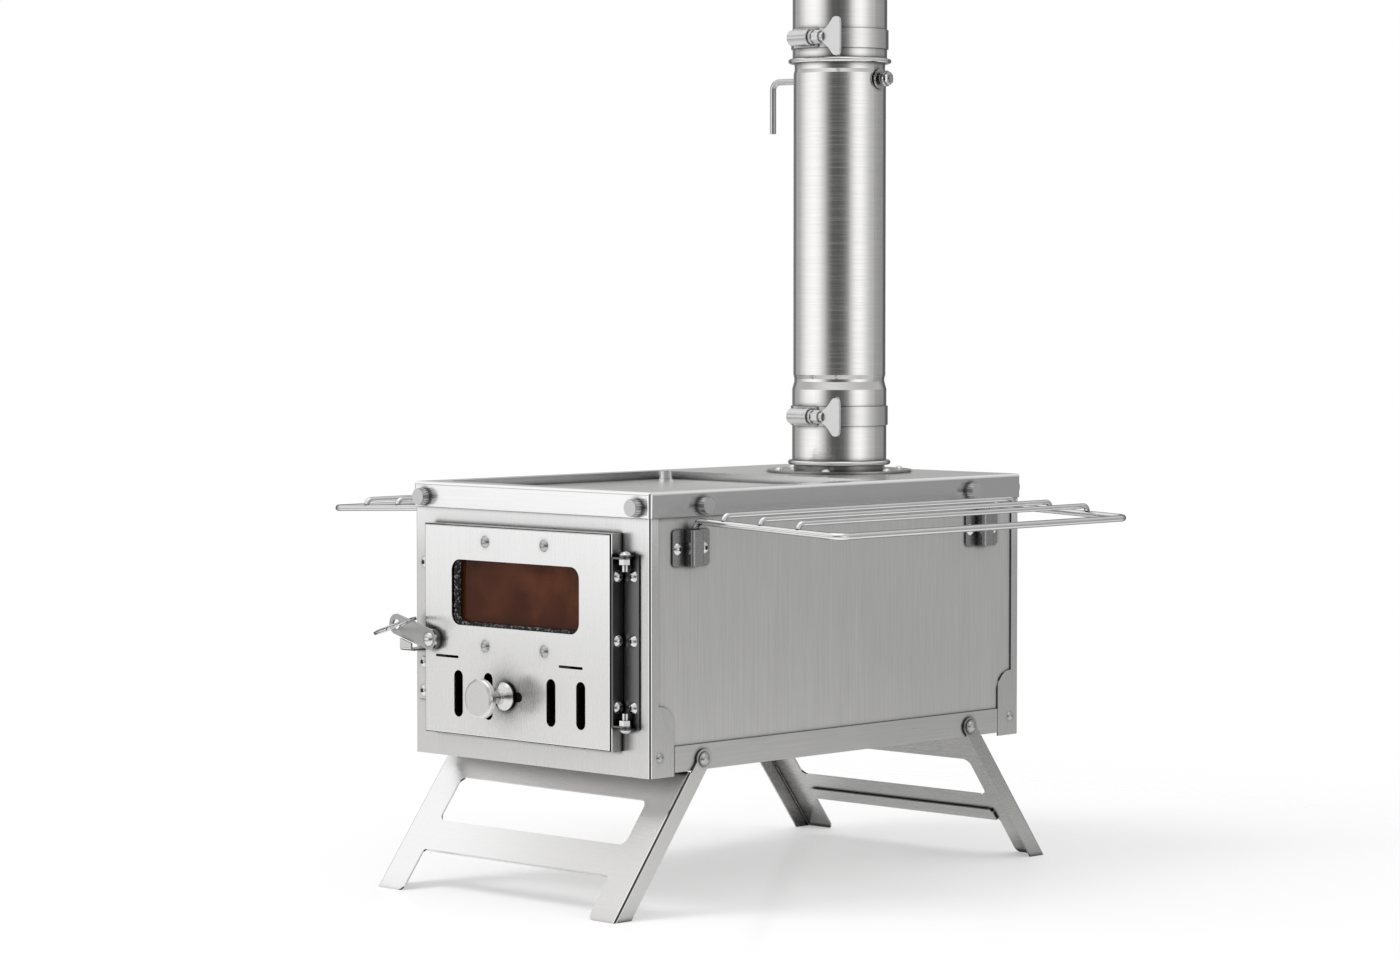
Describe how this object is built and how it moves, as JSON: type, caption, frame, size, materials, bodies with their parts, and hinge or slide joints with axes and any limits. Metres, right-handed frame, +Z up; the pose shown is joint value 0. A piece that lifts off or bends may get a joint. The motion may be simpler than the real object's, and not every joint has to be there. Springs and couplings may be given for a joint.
{
  "type": "tent wood stove",
  "caption": "Folding sheet-steel wood stove for a tent, with a windowed door, an air slider, side racks, splayed folding legs and a clamped flue with a damper.",
  "frame": {"origin": "on the floor, on the firebox's centre plane, under the middle of the part's length", "axes": "+Z is up; the door faces -Y; +X is to the right when the door is looked at"},
  "size_m": [0.4332, 0.3926, 0.8047],
  "materials": {
    "panel_steel": "satin",
    "side_steel": "satin, brushed upright",
    "flue_steel": "polished stainless steel",
    "wire_steel": "bright drawn wire",
    "hardware_steel": "bright",
    "dark_steel": "dull",
    "gasket": "braided glass rope",
    "stove_glass": "clear, heat-tinted"
  },
  "bodies": {
    "stove": {"front_panel": "panel_steel", "rear_panel": "panel_steel", "left_side_panel": "side_steel", "right_side_panel": "side_steel", "bottom_tray": "side_steel", "top_cover": "panel_steel", "fire_grate": "dark_steel", "cover_screws": "hardware_steel", "corner_tab_screws": "hardware_steel", "clinch_nuts": "dark_steel", "flue_collar": "flue_steel", "flue_collar_screws": "hardware_steel", "flue_collar_nuts": "dark_steel", "damper_pipe": "flue_steel", "upper_pipe": "flue_steel", "lower_clamp_band": "flue_steel", "lower_clamp_housing": "hardware_steel", "upper_clamp_band": "flue_steel", "upper_clamp_housing": "hardware_steel", "rack_brackets": "dark_steel", "rack_bracket_rivets": "hardware_steel", "body_hinge_leaf": "dark_steel", "body_hinge_rivets": "hardware_steel", "latch_keeper": "panel_steel", "latch_keeper_rivets": "hardware_steel", "leg_pivot_screws": "hardware_steel", "leg_pivot_nuts": "dark_steel"},
    "door": {"door_skin": "panel_steel", "door_glass": "stove_glass", "door_gasket": "gasket", "glass_frame": "side_steel", "glass_screws": "hardware_steel", "glass_spacers": "dark_steel", "door_hinge_leaf": "dark_steel", "door_hinge_rivets": "hardware_steel", "hinge_pins": "hardware_steel", "hinge_nuts": "hardware_steel", "shutter_guides": "side_steel", "latch_spacer": "dark_steel", "latch_screw": "hardware_steel"},
    "air_slider": {"air_shutter": "side_steel", "air_knob": "hardware_steel", "air_knob_screw": "dark_steel"},
    "latch": {"latch_arm": "panel_steel"},
    "ring": {"latch_ring": "wire_steel"},
    "front_legs": {"front_leg": "panel_steel"},
    "rear_legs": {"rear_leg": "panel_steel"},
    "right_rack": {"right_rack_frame": "wire_steel", "right_rack_rods": "wire_steel"},
    "left_rack": {"left_rack_frame": "wire_steel", "left_rack_rods": "wire_steel"},
    "damper": {"damper_rod": "wire_steel", "damper_plate": "side_steel", "damper_spring": "wire_steel", "damper_washers": "hardware_steel", "damper_nut": "hardware_steel"},
    "lower_key": {"lower_clamp_key": "hardware_steel"},
    "upper_key": {"upper_clamp_key": "hardware_steel"}
  },
  "joints": [
    {"name": "door_swing", "type": "hinge", "parent": "stove", "child": "door", "pos_m": [0.085, -0.16431, 0.1575], "axis": [0, 0, 1], "range_deg": [0, 150]},
    {"name": "air_slide", "type": "slide", "parent": "door", "child": "air_slider", "axis": [1, 0, 0], "range_m": [0, 0.011]},
    {"name": "latch_swing", "type": "hinge", "parent": "door", "child": "latch", "pos_m": [-0.0725, -0.17341, 0.1505], "axis": [0, 1, 0], "range_deg": [-13, 60]},
    {"name": "ring_swing", "type": "hinge", "parent": "latch", "child": "ring", "pos_m": [-0.10157, -0.17341, 0.15791], "axis": [-0.6759, -0.6529, -0.3419], "range_deg": [0, 40]},
    {"name": "front_leg_fold", "type": "hinge", "parent": "stove", "child": "front_legs", "pos_m": [0, -0.11631, 0.0877], "axis": [1, 0, 0], "range_deg": [0, 115]},
    {"name": "rear_leg_fold", "type": "hinge", "parent": "stove", "child": "rear_legs", "pos_m": [0, 0.12269, 0.0877], "axis": [-1, 0, 0], "range_deg": [0, 115]},
    {"name": "right_rack_lift", "type": "slide", "parent": "stove", "child": "right_rack", "axis": [0, 0, 1], "range_m": [0, 0.022]},
    {"name": "left_rack_lift", "type": "slide", "parent": "stove", "child": "left_rack", "axis": [0, 0, 1], "range_m": [0, 0.022]},
    {"name": "damper_turn", "type": "hinge", "parent": "stove", "child": "damper", "pos_m": [0, 0.11269, 0.4925], "axis": [0.9877, 0.1564, 0], "range_deg": [0, 90]},
    {"name": "lower_clamp_turn", "type": "hinge", "parent": "stove", "child": "lower_key", "pos_m": [0, 0.07659, 0.28], "axis": [1, 0, 0], "continuous": true},
    {"name": "upper_clamp_turn", "type": "hinge", "parent": "stove", "child": "upper_key", "pos_m": [0, 0.07659, 0.5177], "axis": [1, 0, 0], "continuous": true}
  ]
}
